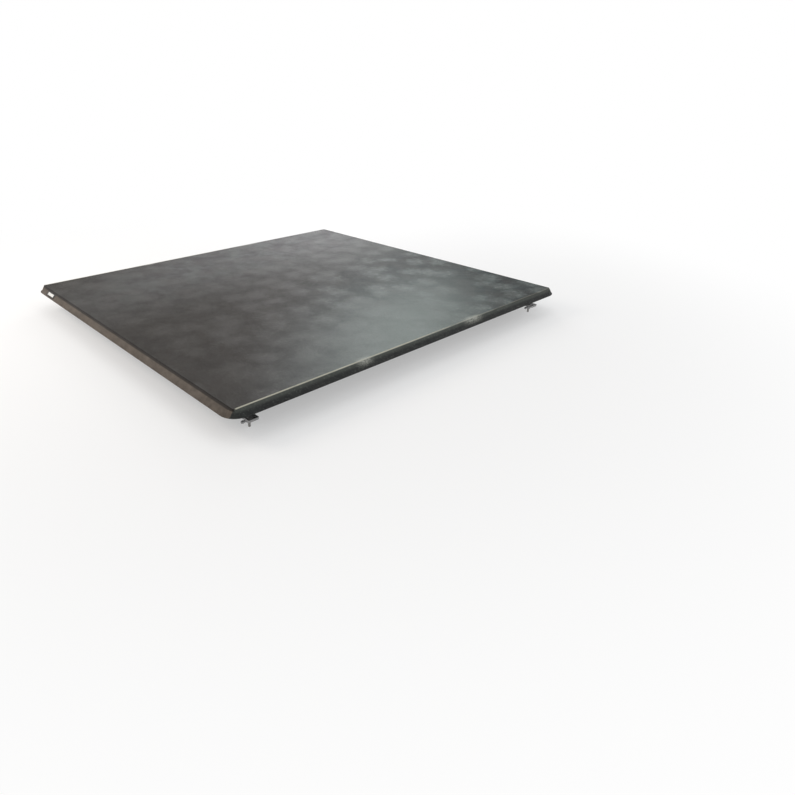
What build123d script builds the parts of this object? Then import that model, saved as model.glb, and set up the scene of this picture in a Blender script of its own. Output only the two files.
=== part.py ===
from build123d import *
import math
import os

# A soft tri-fold tonneau cover for a pickup bed: three framed panels under one vinyl skin,
# two double-hinged folds and four screw clamps. Millimetres. +X is the truck's right side,
# +Y runs forward to the cab and +Z is up. The origin is the middle of the bulkhead seal's
# underside, so z = 0 is the top of the bed rails.

# overall sizes
cover_width = 1636.0
cover_length = 1736.0
cover_height = 30.0  # skin's top above the bed rails
corner_radius = 60.0  # outer lower edge, in plan
plateau_radius = 4.0  # top edge's corners, in plan
band_run = 27.0  # how far the sloping side band leans in, in plan
skin = 1.2  # vinyl thickness

# sealing strip under the frame
seal_height = 5.0
seal_width = 18.0
seal_inset = 6.0

# frame extrusions
rail_width = 57.0  # outer edge to the rail's inner face
rail_wall = 2.0
fold_rail_width = 25.0
fold_rail_lift = 3.0  # fold rail's underside above the side rail's underside
bow_width = 25.0
bow_depth = 12.0
bow_wall = 1.5
casting_reach = 75.0  # outer edge to where a corner casting meets its rails
casting_wall = 3.0
casting_relief = 0.3
tenon_length = 14.0
tenon_clearance = 0.25

# underside of the skin
skin_return = 32.0
strip_inset = 25.0
strip_width = 9.0
strip_depth = 2.0

# folds
front_length = 562.0  # front edge to the first hinge line
axis_depth = 6.0  # hinge lines below the skin's top
axis_clearance = 8.0  # frame ends' distance from the hinge lines
stack_gap = 2.0  # between panels laid on each other
stack_end_gap = 14.0  # folded rear panel's edge short of the standing front link

# hinges
hinge_count = 4
hinge_margin = 198.0  # outer edge to the outermost hinge
eye_radius = 4.5
hinge_pin_radius = 2.5
hinge_pin_overhang = 1.7
pin_fit = 0.06  # radial running clearance
press_fit = 0.02
tang_width = 8.0
ear_width = 6.0
side_play = 0.3
leaf_width = 32.0
leaf_plate = 3.0
leaf_drop = 12.0  # leaf plate below the hinge line
leaf_rise = 3.5

# rail corner brackets and rivets
bracket_leg = 38.0
bracket_plate = 3.0
bracket_height = 14.0
rivet_radius = 2.0
rivet_head_radius = 4.0
rivet_head_depth = 1.4
rivet_tail = 1.0

# clamps
clamp_setback = 105.0  # cover's front or rear edge to the clamp
pivot_inset = 73.0  # outer edge to the clamp's pivot
pivot_level = 14.0
pivot_pin_radius = 3.0
pivot_head_radius = 4.5
pivot_head_depth = 1.5
rod_radius = 4.0
rod_length = 92.0  # pivot to the rod's end
rod_eye_radius = 7.0
rod_eye_width = 8.0
clamp_ear_width = 5.0
clamp_plate_width = 40.0
clamp_plate_height = 19.0
clamp_rivet_spacing = 27.0
jaw_level = -38.0  # jaw's gripping face when tight
jaw_thickness = 8.0
jaw_reach = 30.0  # rod's axis to the jaw's tip
jaw_heel = 14.0  # rod's axis to the jaw's back
jaw_width = 38.0
jaw_leg = 5.0
jaw_leg_width = 30.0
jaw_leg_top = 9.0  # leg's end below the pivot
hub_radius = 10.0
hub_length = 14.0
hub_gap = 0.3
handle_bar_radius = 4.0
handle_bar_length = 56.0
handle_ball_radius = 5.5

# small things
strap_width = 25.0
strap_thickness = 1.5
strap_length = 180.0
strap_offset = 300.0
strap_layers = 3
buckle_length = 34.0
buckle_width = 32.0
buckle_depth = 9.0
tag_length = 84.0
tag_height = 21.0
tag_thickness = 0.6
tag_inset = 151.0  # left outer edge to the middle of the tag

# places that follow from the sizes above
half_width = cover_width / 2
front_edge = seal_inset + seal_width / 2
rear_edge = front_edge - cover_length
middle = (front_edge + rear_edge) / 2
band_height = cover_height - seal_height
lean = band_run / band_height
slope_factor = math.hypot(band_run, band_height) / band_height
rail_bottom = seal_height + skin
rail_top = cover_height - skin
rail_inner = half_width - rail_width
hinge_level = cover_height - axis_depth
clamp_drop = jaw_reach - pivot_level  # how far a stowed jaw hangs under the panel
front_link = 2 * axis_depth + stack_gap + cover_height + clamp_drop + stack_gap
rear_link = 2 * axis_depth + stack_gap
free_length = cover_length - front_length - front_link - rear_link
mid_length = (free_length + stack_end_gap) / 2
axis_a = front_edge - front_length
axis_b = axis_a - front_link
axis_c = axis_b - mid_length
axis_d = axis_c - rear_link
hinge_pitch = (cover_width - 2 * hinge_margin) / (hinge_count - 1)
hinge_places = [(i - (hinge_count - 1) / 2) * hinge_pitch for i in range(hinge_count)]
fold_rail_bottom = rail_bottom + fold_rail_lift
pivot_x = half_width - pivot_inset
front_clamp_y = front_edge - clamp_setback
rear_clamp_y = rear_edge + clamp_setback
handle_level = jaw_level - jaw_thickness - hub_gap - hub_length / 2
SIDES = (-1, 1)

os.makedirs("parts", exist_ok=True)


def save(name, *solids):
    export_step(Compound(children=list(solids)), f"parts/{name}.step")


def block(x0, x1, y0, y1, z0, z1):
    """A box between two values along each axis."""
    size = (abs(x1 - x0), abs(y1 - y0), abs(z1 - z0))
    return Pos((x0 + x1) / 2, (y0 + y1) / 2, (z0 + z1) / 2) * Box(*size)


def rod_along(axis, radius, centre, length):
    """A cylinder of a length, centred on a point, along X, Y or Z."""
    turn = {"x": Rot(0, 90, 0), "y": Rot(90, 0, 0), "z": Rot(0, 0, 0)}[axis]
    return Pos(*centre) * turn * Cylinder(radius, length)


# The outer form: a flat top with a sloping band all round.


def outline(level, inset):
    """The cover's outline in plan at a height, drawn in from its outer surface by an inset."""
    rise = (level - seal_height) / band_height
    back = inset * slope_factor + rise * band_run
    corner = corner_radius + (plateau_radius - corner_radius) * rise - inset
    flat = RectangleRounded(cover_width - 2 * back, cover_length - 2 * back, max(corner, 0.5))
    return Pos(0, middle, level) * flat


def envelope(inset):
    """The solid inside the cover's outer surface, drawn in by an inset on every side."""
    low = outline(seal_height + inset, inset)
    high = outline(cover_height - inset, inset)
    return loft([low.face(), high.face()], ruled=True)


def slab(front, rear):
    """All space between two values of y."""
    return block(-cover_width, cover_width, front, rear, -200, 200)


inside = envelope(skin)
mouth = block(-half_width + skin_return, half_width - skin_return,
              front_edge - skin_return, rear_edge + skin_return, 0, rail_bottom + 1)
whole_skin = envelope(0) - inside - mouth

panel_spans = {
    "front": (front_edge, axis_a + axis_clearance),
    "mid": (axis_b - axis_clearance, axis_c + axis_clearance),
    "rear": (axis_d - axis_clearance, rear_edge),
}
fold_spans = {
    "front_fold": (panel_spans["front"][1], panel_spans["mid"][0]),
    "rear_fold": (panel_spans["mid"][1], panel_spans["rear"][0]),
}
for name, (front, rear) in {**panel_spans, **fold_spans}.items():
    margin = {"front": (50, 0), "rear": (0, 50)}.get(name, (0, 0))
    save(f"{name}_vinyl", whole_skin & slab(front + margin[0], rear - margin[1]))


# Rails: a hollow extrusion whose outer face leans with the band.


def rail_section(inset):
    """Rail outline as (distance from the outer edge, height), drawn in by an inset."""
    foot = rail_bottom + inset
    head = rail_top - inset
    outer = (skin + inset) * slope_factor

    def face_at(level):
        return outer + (level - seal_height) * lean

    inner = rail_width - inset
    return [(face_at(foot), foot), (inner, foot), (inner, head), (face_at(head), head)]


def along_y(section, side, front, rear):
    """A rail section on the left or right side, run from front to rear."""
    points = [(side * (half_width - u), z) for u, z in section]
    face = Plane.XZ * make_face(Polyline(*points, close=True))
    return Pos(0, front, 0) * extrude(face, front - rear, dir=(0, -1, 0))


def along_x(section, end, reach):
    """A rail section at the front (end = 1) or rear (end = -1), run across the cover."""
    edge = front_edge if end > 0 else rear_edge
    points = [(edge - end * u, z) for u, z in section]
    face = Plane.YZ * make_face(Polyline(*points, close=True))
    return Pos(-reach, 0, 0) * extrude(face, 2 * reach, dir=(1, 0, 0))


def rivet_holes(places):
    """Cutters for rivets that run along X (side rails) or Y (cross rails)."""
    reach = bracket_plate + rail_wall + rivet_tail
    radius = rivet_radius + press_fit
    holes = []
    for axis, centre, _ in places:
        holes.append(rod_along(axis, radius, centre, 2 * reach))
    return holes


def rivets(places):
    """Domed blind rivets: (axis, a point on the bracket's outer face, direction into the rail)."""
    made = []
    grip = bracket_plate + rail_wall + rivet_tail
    for axis, (x, y, z), way in places:
        step = (way, 0, 0) if axis == "x" else (0, way, 0)
        shank_centre = (x + step[0] * grip / 2, y + step[1] * grip / 2, z)
        shank = rod_along(axis, rivet_radius, shank_centre, grip)
        depth = rivet_head_depth
        head_centre = (x - step[0] * depth / 2, y - step[1] * depth / 2, z)
        made.append(shank + rod_along(axis, rivet_head_radius, head_centre, depth))
    return made


def corner_bracket(side, rail_face, way):
    """An inside angle between a side rail and a fold rail's inner face; way is +1 if it runs forward."""
    z0 = fold_rail_bottom + 2
    z1 = z0 + bracket_height
    x = side * rail_inner
    along_side = block(x, x - side * bracket_plate, rail_face, rail_face + way * bracket_leg, z0, z1)
    along_fold = block(x, x - side * bracket_leg, rail_face, rail_face + way * bracket_plate, z0, z1)
    return along_side + along_fold


def bracket_rivets(side, rail_face, way):
    """The two rivets of one corner bracket."""
    z = fold_rail_bottom + 2 + bracket_height / 2
    reach = bracket_leg * 0.7
    x = side * (rail_inner - bracket_plate)
    y = rail_face + way * bracket_plate
    return [("x", (x, rail_face + way * reach, z), side),
            ("y", (side * (rail_inner - reach), y, z), -way)]


def clamp_rivets(side, y):
    """The two rivets of one clamp bracket."""
    x = side * (rail_inner - bracket_plate)
    z = rail_bottom + 2 + clamp_plate_height / 2
    half = clamp_rivet_spacing / 2
    return [("x", (x, y - half, z), side), ("x", (x, y + half, z), side)]


def fold_rail(outer_face, way):
    """A square tube across a panel's fold end; its outer face is the one next to the hinge line."""
    far = outer_face + way * fold_rail_width
    near_in = outer_face + way * rail_wall
    far_in = far - way * rail_wall
    tube = block(-rail_inner, rail_inner, outer_face, far, fold_rail_bottom, rail_top)
    bore = block(-rail_inner, rail_inner, near_in, far_in,
                 fold_rail_bottom + rail_wall, rail_top - rail_wall)
    return tube - bore


def bow(y):
    """The light cross tube that holds the skin up in the middle of a panel."""
    half = bow_width / 2
    low = rail_top - bow_depth
    tube = block(-rail_inner, rail_inner, y - half, y + half, low, rail_top)
    bore = block(-rail_inner, rail_inner, y - half + bow_wall, y + half - bow_wall,
                 low + bow_wall, rail_top - bow_wall)
    return tube - bore


# Hinges: a leaf with two ears on each panel end, a tang or a link bar between the ears.


def arm(x, width, axis_y, way):
    """An eye of a given width on the hinge line, with an arm back to its plate."""
    eye = rod_along("x", eye_radius, (x, axis_y, hinge_level), width)
    bar = block(x - width / 2, x + width / 2, axis_y, axis_y + way * axis_clearance,
                hinge_level - eye_radius, hinge_level + leaf_rise)
    return eye + bar


def plate(x, width, axis_y, way):
    near = axis_y + way * (axis_clearance - leaf_plate)
    return block(x - width / 2, x + width / 2, near, axis_y + way * axis_clearance,
                 hinge_level - leaf_drop, hinge_level + leaf_rise)


def leaf(x, axis_y, way):
    """A hinge leaf: plate and two ears, bored for the pin."""
    offset = tang_width / 2 + side_play + ear_width / 2
    body = plate(x, leaf_width, axis_y, way)
    for hand in SIDES:
        body += arm(x + hand * offset, ear_width, axis_y, way)
    bore = rod_along("x", hinge_pin_radius + press_fit, (x, axis_y, hinge_level), leaf_width)
    return body - bore


def tang(x, axis_y, way):
    """The middle knuckle that turns between a leaf's ears."""
    body = plate(x, leaf_width, axis_y, way) + arm(x, tang_width, axis_y, way)
    bore = rod_along("x", hinge_pin_radius + pin_fit, (x, axis_y, hinge_level), leaf_width)
    return body - bore


def link_bar(x):
    """A short link with an eye on each of the two rear hinge lines."""
    body = block(x - tang_width / 2, x + tang_width / 2, axis_c, axis_d,
                 hinge_level - eye_radius, hinge_level + eye_radius)
    for axis_y in (axis_c, axis_d):
        body += rod_along("x", eye_radius, (x, axis_y, hinge_level), tang_width)
    for axis_y in (axis_c, axis_d):
        body -= rod_along("x", hinge_pin_radius + pin_fit, (x, axis_y, hinge_level), leaf_width)
    return body


def hinge_pins(axis_y):
    length = tang_width + 2 * (side_play + ear_width + hinge_pin_overhang)
    return [rod_along("x", hinge_pin_radius, (x, axis_y, hinge_level), length)
            for x in hinge_places]


# Clamps: bracket, pivot pin, swinging rod, sliding jaw and screw handle.


def clamp_bracket(side, y):
    x0 = side * rail_inner
    x1 = side * (rail_inner - bracket_plate)
    low = rail_bottom + 2
    body = block(x0, x1, y - clamp_plate_width / 2, y + clamp_plate_width / 2,
                 low, low + clamp_plate_height)
    offset = rod_eye_width / 2 + side_play + clamp_ear_width / 2
    centre_x = side * pivot_x
    for hand in SIDES:
        centre = (centre_x, y + hand * offset, pivot_level)
        body += rod_along("y", rod_eye_radius, centre, clamp_ear_width)
        half = clamp_ear_width / 2
        ear_y = y + hand * offset
        body += block(centre_x, x1, ear_y - half, ear_y + half,
                      pivot_level - rod_eye_radius + 2, pivot_level + rod_eye_radius)
    bore = rod_along("y", pivot_pin_radius + press_fit, (centre_x, y, pivot_level),
                     clamp_plate_width)
    return body - bore


def clamp_pin(side, y):
    grip = rod_eye_width + 2 * (side_play + clamp_ear_width)
    x = side * pivot_x
    pin = rod_along("y", pivot_pin_radius, (x, y, pivot_level), grip)
    for hand in SIDES:
        end = y + hand * (grip + pivot_head_depth) / 2
        pin += rod_along("y", pivot_head_radius, (x, end, pivot_level), pivot_head_depth)
    return pin


def clamp_rod(side, y):
    x = side * pivot_x
    eye = rod_along("y", rod_eye_radius, (x, y, pivot_level), rod_eye_width)
    shaft = rod_along("z", rod_radius, (x, y, pivot_level - rod_length / 2), rod_length)
    shaft = chamfer(shaft.edges().sort_by(Axis.Z)[0], 1.0)
    bore = rod_along("y", pivot_pin_radius + pin_fit, (x, y, pivot_level), 2 * rod_eye_width)
    return eye + shaft - bore


def clamp_jaw(side, y):
    x = side * pivot_x
    low = jaw_level - jaw_thickness
    body = block(x - side * jaw_heel, x + side * jaw_reach, y - jaw_width / 2, y + jaw_width / 2,
                 low, jaw_level)
    body = fillet(body.edges().filter_by(Axis.Z), 4.0)
    body += block(x - side * jaw_heel, x - side * (jaw_heel - jaw_leg),
                  y - jaw_leg_width / 2, y + jaw_leg_width / 2, low, pivot_level - jaw_leg_top)
    return body - rod_along("z", rod_radius + pin_fit, (x, y, jaw_level), 3 * jaw_thickness)


def clamp_handle(side, y):
    x = side * pivot_x
    hub = rod_along("z", hub_radius, (x, y, handle_level), hub_length)
    hub = chamfer(hub.edges(), 1.5)
    body = hub + rod_along("y", handle_bar_radius, (x, y, handle_level), handle_bar_length)
    for hand in SIDES:
        end = y + hand * (handle_bar_length / 2 - handle_ball_radius)
        body += Pos(x, end, handle_level) * Sphere(handle_ball_radius)
    return body - rod_along("z", rod_radius + pin_fit, (x, y, handle_level), 3 * hub_length)


# Corner castings join the side rails to the header rails.


def corner_casting(side, end):
    """A hollow corner block with a tenon into each rail; end is 1 at the front."""
    edge = front_edge if end > 0 else rear_edge
    x_out = side * (half_width + 1)
    y_out = edge + end
    x_in = side * (half_width - casting_reach)
    y_in = edge - end * casting_reach
    square = block(x_out, x_in, y_out, y_in, 0, 100)
    x_face = side * (half_width - rail_width)
    y_face = edge - end * rail_width
    inner_square = block(x_face, x_in, y_face, y_in, 0, 100)
    body = envelope(skin + casting_relief) & (square - inner_square)
    wall = casting_wall
    pocket_box = block(x_out, x_in + side * wall, y_out, y_in + end * wall, 0, 100)
    pocket_keep = block(x_face + side * wall, x_in, y_face + end * wall, y_in, 0, 100)
    hollow = envelope(skin + casting_relief + wall) & (pocket_box - pocket_keep)
    low = block(-cover_width, cover_width, front_edge + 1, rear_edge - 1,
                rail_bottom + wall + 1, rail_top - wall)
    body -= hollow & low
    section = rail_section(rail_wall + tenon_clearance)
    y_tip = y_in - end * tenon_length
    y_root = y_in + end * wall
    body += along_y(section, side, max(y_root, y_tip), min(y_root, y_tip))
    span = half_width - casting_reach
    arm_across = along_x(section, end, span + wall)
    keep = block(x_in + side * wall, x_in - side * tenon_length, y_out, edge - end * rail_width,
                 0, 100)
    return body + (arm_across & keep)


def side_rails(front, rear, places):
    made = []
    for side in SIDES:
        rail = along_y(rail_section(0), side, front, rear)
        rail -= along_y(rail_section(rail_wall), side, front + 1, rear - 1)
        for hole in rivet_holes([p for p in places if p[0] == "x" and p[2] == side]):
            rail -= hole
        made.append(rail)
    return made


def header_rail(end):
    span = half_width - casting_reach
    return along_x(rail_section(0), end, span) - along_x(rail_section(rail_wall), end, span + 1)


# Sealing strips and the strips that hold the skin's edge.


def side_strip(side, inset, width, front, rear, low, high):
    x0 = side * (half_width - inset)
    x1 = side * (half_width - inset - width)
    return block(x0, x1, front, rear, low, high)


def cross_strip(end, inset, width, reach, low, high):
    edge = front_edge if end > 0 else rear_edge
    return block(-reach, reach, edge - end * inset, edge - end * (inset + width), low, high)


def corner_seal(side, end):
    """A moulded quarter ring that joins a side seal to a cross seal."""
    edge = front_edge if end > 0 else rear_edge
    x = half_width - corner_radius
    y = edge - end * corner_radius
    outer = corner_radius - seal_inset
    ring = Cylinder(outer, seal_height) - Cylinder(outer - seal_width, seal_height)
    quarter = block(0, side * corner_radius, 0, end * corner_radius, -seal_height, seal_height)
    return Pos(side * x, y, seal_height / 2) * (ring & quarter)


strip_top = seal_height
strip_bottom = seal_height - strip_depth


def panel(name, front, rear, fold_faces, end, clamp_y):
    """One framed panel. fold_faces are (y, way) pairs: a fold end's face and the way inwards."""
    rail_front = front - casting_reach if end > 0 else front
    rail_rear = rear + casting_reach if end < 0 else rear
    places = []
    brackets = []
    for face, way in fold_faces:
        inner_face = face + way * fold_rail_width
        for side in SIDES:
            brackets.append(corner_bracket(side, inner_face, way))
            places += bracket_rivets(side, inner_face, way)
    clamp_places = []
    if clamp_y is not None:
        for side in SIDES:
            clamp_places += clamp_rivets(side, clamp_y)
    all_places = places + clamp_places
    holes = rivet_holes(all_places)
    cross_holes = rivet_holes([p for p in places if p[0] == "y"])
    save(f"{name}_side_rails", *side_rails(rail_front, rail_rear, all_places))
    rails = []
    for face, way in fold_faces:
        tube = fold_rail(face, way)
        for hole in cross_holes:
            tube -= hole
        rails.append(tube)
    save(f"{name}_fold_rails", *rails)
    save(f"{name}_corner_brackets", *[cut_all(b, holes) for b in brackets])
    save(f"{name}_rivets", *rivets(all_places))
    save(f"{name}_bow", bow((front + rear) / 2))
    save(f"{name}_hinge_leaves", *[leaf(x, y, way) for y, way in axis_faces(fold_faces)
                                   for x in hinge_places])
    save(f"{name}_hinge_pins", *[pin for y, _ in axis_faces(fold_faces) for pin in hinge_pins(y)])

    seals = []
    strips = []
    seal_front = front - corner_radius if end > 0 else front
    seal_rear = rear + corner_radius if end < 0 else rear
    for side in SIDES:
        seals.append(side_strip(side, seal_inset, seal_width, seal_front, seal_rear,
                                0, seal_height))
        strips.append(side_strip(side, strip_inset, strip_width, rail_front, rail_rear,
                                 strip_bottom, strip_top))
    if end:
        seals.append(cross_strip(end, seal_inset, seal_width, half_width - corner_radius,
                                 0, seal_height))
        strips.append(cross_strip(end, strip_inset, strip_width, half_width - casting_reach,
                                  strip_bottom, strip_top))
        seals += [corner_seal(side, end) for side in SIDES]
        save(f"{name}_header_rail", header_rail(end))
        save(f"{name}_corner_castings", *[corner_casting(side, end) for side in SIDES])
        save(f"{name}_clamp_brackets", *[cut_all(clamp_bracket(side, clamp_y), holes)
                                         for side in SIDES])
        save(f"{name}_clamp_pins", *[clamp_pin(side, clamp_y) for side in SIDES])
    save(f"{name}_seals", *seals)
    save(f"{name}_vinyl_strips", *strips)


def cut_all(body, cutters):
    for cutter in cutters:
        body -= cutter
    return body


def axis_faces(fold_faces):
    """The hinge line next to each fold end, with the way from it to the panel."""
    return [(face - way * axis_clearance, way) for face, way in fold_faces]


front_span = panel_spans["front"]
mid_span = panel_spans["mid"]
rear_span = panel_spans["rear"]
panel("front", *front_span, [(front_span[1], 1)], 1, front_clamp_y)
panel("mid", *mid_span, [(mid_span[0], -1), (mid_span[1], 1)], 0, None)
panel("rear", *rear_span, [(rear_span[0], -1)], -1, rear_clamp_y)


# The front fold's link: a hollow spine, its end blocks and its tangs.
spine_front, spine_rear = fold_spans["front_fold"][0] - 2 * axis_clearance, 0
spine_rear = fold_spans["front_fold"][1] + 2 * axis_clearance
spine = block(-rail_inner, rail_inner, spine_front, spine_rear, fold_rail_bottom, rail_top)
spine -= block(-rail_inner, rail_inner, spine_front - rail_wall, spine_rear + rail_wall,
               fold_rail_bottom + rail_wall, rail_top - rail_wall)
save("fold_spine", spine)

end_blocks = []
for side in SIDES:
    cap = envelope(skin + casting_relief) & block(side * rail_inner, side * cover_width,
                                                  spine_front, spine_rear, 0, 100)
    fit = rail_wall + tenon_clearance
    cap += block(side * rail_inner, side * (rail_inner - 2 * tenon_length),
                 spine_front - fit, spine_rear + fit,
                 fold_rail_bottom + fit, rail_top - fit)
    end_blocks.append(cap)
save("fold_end_blocks", *end_blocks)
save("fold_tangs", *[tang(x, y, way) for y, way in ((axis_a, -1), (axis_b, 1))
                     for x in hinge_places])
save("fold_link_bars", *[link_bar(x) for x in hinge_places])

# Clamps at the four corners.
for end_name, clamp_y in (("front", front_clamp_y), ("rear", rear_clamp_y)):
    for side_name, side in (("left", -1), ("right", 1)):
        save(f"clamp_rod_{end_name}_{side_name}", clamp_rod(side, clamp_y))
        save(f"clamp_jaw_{end_name}_{side_name}", clamp_jaw(side, clamp_y))
        save(f"clamp_handle_{end_name}_{side_name}", clamp_handle(side, clamp_y))

# Two straps on the bulkhead rail hold the folded stack, each folded flat under its buckle.
header_face = front_edge - rail_width
strap_level = (rail_bottom + rail_top) / 2
straps = []
buckles = []
for side in SIDES:
    x = side * strap_offset
    back = header_face - strap_layers * strap_thickness
    straps.append(block(x - strap_length / 2, x + strap_length / 2, header_face, back,
                        strap_level - strap_width / 2 + 3, strap_level + strap_width / 2 - 3))
    buckles.append(block(x - buckle_length / 2, x + buckle_length / 2, back, back - buckle_depth,
                         rail_bottom + 1, rail_top - 1))
save("stay_straps", *straps)
save("strap_buckles", *buckles)

# A small blank tag on the rear band.
tag_plane = Plane(origin=(tag_inset - half_width, rear_edge + band_run / 2,
                          seal_height + band_height / 2),
                  x_dir=(1, 0, 0), z_dir=(0, -band_height, band_run))
save("blank_tag", tag_plane * Pos(0, 0, tag_thickness / 2) * Box(tag_length, tag_height,
                                                                 tag_thickness))
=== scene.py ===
import math
import random

import bmesh
import bpy
import numpy as np
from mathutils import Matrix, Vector


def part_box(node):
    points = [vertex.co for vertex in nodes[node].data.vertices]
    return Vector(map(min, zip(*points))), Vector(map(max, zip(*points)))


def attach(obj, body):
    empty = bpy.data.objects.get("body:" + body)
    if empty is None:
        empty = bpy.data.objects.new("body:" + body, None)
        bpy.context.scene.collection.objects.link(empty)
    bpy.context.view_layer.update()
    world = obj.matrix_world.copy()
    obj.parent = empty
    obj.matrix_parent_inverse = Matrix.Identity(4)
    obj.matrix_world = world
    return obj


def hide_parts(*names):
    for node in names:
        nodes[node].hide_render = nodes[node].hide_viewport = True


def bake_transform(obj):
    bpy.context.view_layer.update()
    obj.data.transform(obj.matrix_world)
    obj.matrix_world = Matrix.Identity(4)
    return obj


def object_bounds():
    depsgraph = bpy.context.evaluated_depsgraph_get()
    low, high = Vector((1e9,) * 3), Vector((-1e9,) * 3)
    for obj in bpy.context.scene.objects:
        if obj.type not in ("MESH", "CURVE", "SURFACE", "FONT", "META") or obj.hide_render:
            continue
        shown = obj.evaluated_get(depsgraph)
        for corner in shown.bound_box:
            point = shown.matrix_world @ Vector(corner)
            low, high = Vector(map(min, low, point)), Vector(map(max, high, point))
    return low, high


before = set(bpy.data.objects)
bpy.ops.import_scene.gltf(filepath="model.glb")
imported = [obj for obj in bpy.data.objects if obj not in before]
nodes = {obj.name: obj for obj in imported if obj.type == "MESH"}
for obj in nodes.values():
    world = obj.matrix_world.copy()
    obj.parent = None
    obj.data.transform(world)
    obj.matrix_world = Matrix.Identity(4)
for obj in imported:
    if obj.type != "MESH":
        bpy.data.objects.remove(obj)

for leftover in ("Cube", "Light", "Camera"):
    if leftover in bpy.data.objects:
        bpy.data.objects.remove(bpy.data.objects[leftover])
cad_box = [list(corner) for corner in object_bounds()]
SIDES = (-1, 1)


# ---- Frame rails and bows ----
# Hollow aluminium extrusions, powder coated satin black. The side rails lean with the band,
# the square fold rails and the light bows are plain tube, cut square and riveted inside.


def add(tree, kind, sockets=None, **settings):
    """Adds one shader node; a socket's value is a number, a colour or another node's output."""
    made = tree.nodes.new(kind)
    for name, value in settings.items():
        setattr(made, name, value)
    for name, value in (sockets or {}).items():
        socket = made.inputs[name]
        if isinstance(value, bpy.types.NodeSocket):
            tree.links.new(value, socket)
        else:
            socket.default_value = value
    return made


def maths(tree, operation, first, second=0.0, clamp=False):
    return add(tree, "ShaderNodeMath", {0: first, 1: second}, operation=operation,
               use_clamp=clamp).outputs[0]


def times(tree, first, second):
    return maths(tree, "MULTIPLY", first, second)


def plus(tree, first, second, clamp=False):
    return maths(tree, "ADD", first, second, clamp)


def ramp(tree, value, low, high):
    """0 at low, 1 at high, smooth between."""
    spread = add(tree, "ShaderNodeMapRange", {"Value": value, "From Min": low, "From Max": high},
                 interpolation_type="SMOOTHSTEP")
    return spread.outputs["Result"]


def noise(tree, place, scale, detail=2.0, rough=0.5, twist=0.0):
    made = add(tree, "ShaderNodeTexNoise", {"Vector": place, "Scale": scale, "Detail": detail,
                                            "Roughness": rough, "Distortion": twist})
    return made.outputs["Fac"]


def relief(tree, height, depth, strength):
    """The surface's normal where height, from 0 to 1, raises it by depth in metres."""
    made = add(tree, "ShaderNodeBump", {"Height": height, "Distance": depth, "Strength": strength})
    return made.outputs["Normal"]


def blend_colour(tree, amount, first, second):
    made = add(tree, "ShaderNodeMix", data_type="RGBA")
    for index, value in ((0, amount), (6, first), (7, second)):
        if isinstance(value, bpy.types.NodeSocket):
            tree.links.new(value, made.inputs[index])
        else:
            made.inputs[index].default_value = value
    return made.outputs[2]


def lay_over(tree, base, mask, share, colour):
    """A colour laid over the base where the mask is, and as much as the share says."""
    return blend_colour(tree, times(tree, mask, share), base, colour)


def new_group(name, inputs, outputs):
    """An empty node group with its sockets, and its two end nodes."""
    tree = bpy.data.node_groups.new(name, "ShaderNodeTree")
    for label, kind, value in inputs:
        socket = tree.interface.new_socket(label, in_out="INPUT", socket_type=kind)
        if value is not None:
            socket.default_value = value
    for label, kind in outputs:
        tree.interface.new_socket(label, in_out="OUTPUT", socket_type=kind)
    return tree, tree.nodes.new("NodeGroupInput").outputs, tree.nodes.new("NodeGroupOutput").inputs


def new_material(name, shine, **constants):
    """A Principled material with its uniform values set on the shader's own sockets."""
    material = bpy.data.materials.new(name)
    material.use_nodes = True
    tree = material.node_tree
    shader = tree.nodes["Principled BSDF"]
    shader.inputs["Roughness"].default_value = shine
    for label, value in constants.items():
        shader.inputs[label.replace("_", " ")].default_value = value
    return material, tree, shader


def wire(tree, shader, **outputs):
    for label, value in outputs.items():
        tree.links.new(value, shader.inputs[label.replace("_", " ")])


FLOAT, COLOUR, VECTOR = "NodeSocketFloat", "NodeSocketColor", "NodeSocketVector"

# Dust, handling marks and fine scratches that any hard part of the cover picks up.
marks_tree, given, out = new_group(
    "Handling Marks",
    [("Place", VECTOR, None), ("Finish", COLOUR, None), ("Bare", COLOUR, None),
     ("Roughness", FLOAT, 0.5), ("Dust", FLOAT, 0.3), ("Scratches", FLOAT, 0.3)],
    [("Colour", COLOUR), ("Roughness", FLOAT), ("Height", FLOAT)])
patches = ramp(marks_tree, noise(marks_tree, given["Place"], 14.0, 5.0, 0.6), 0.42, 0.72)
dust = times(marks_tree, patches, given["Dust"])
stretched = add(marks_tree, "ShaderNodeMapping", {"Vector": given["Place"],
                                                  "Rotation": (0.3, 0.2, 0.7),
                                                  "Scale": (900.0, 35.0, 300.0)})
lines = ramp(marks_tree, noise(marks_tree, stretched.outputs[0], 1.0, 3.0, 0.6), 0.66, 0.72)
lines = times(marks_tree, lines, given["Scratches"])
shade = ramp(marks_tree, noise(marks_tree, given["Place"], 60.0, 4.0, 0.6), 0.3, 0.7)
toned = blend_colour(marks_tree, shade, given["Finish"], given["Bare"])
toned = blend_colour(marks_tree, 0.25, given["Finish"], toned)
dust_colour = (0.32, 0.30, 0.27, 1.0)
dusty = blend_colour(marks_tree, dust, toned, dust_colour)
marks_tree.links.new(blend_colour(marks_tree, lines, dusty, given["Bare"]), out["Colour"])
rougher = plus(marks_tree, given["Roughness"], times(marks_tree, dust, 0.35))
rougher = plus(marks_tree, rougher, times(marks_tree, shade, 0.06))
marks_tree.links.new(maths(marks_tree, "SUBTRACT", rougher,
                           times(marks_tree, lines, 0.15)), out["Roughness"])
marks_tree.links.new(times(marks_tree, lines, -0.4), out["Height"])


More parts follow.
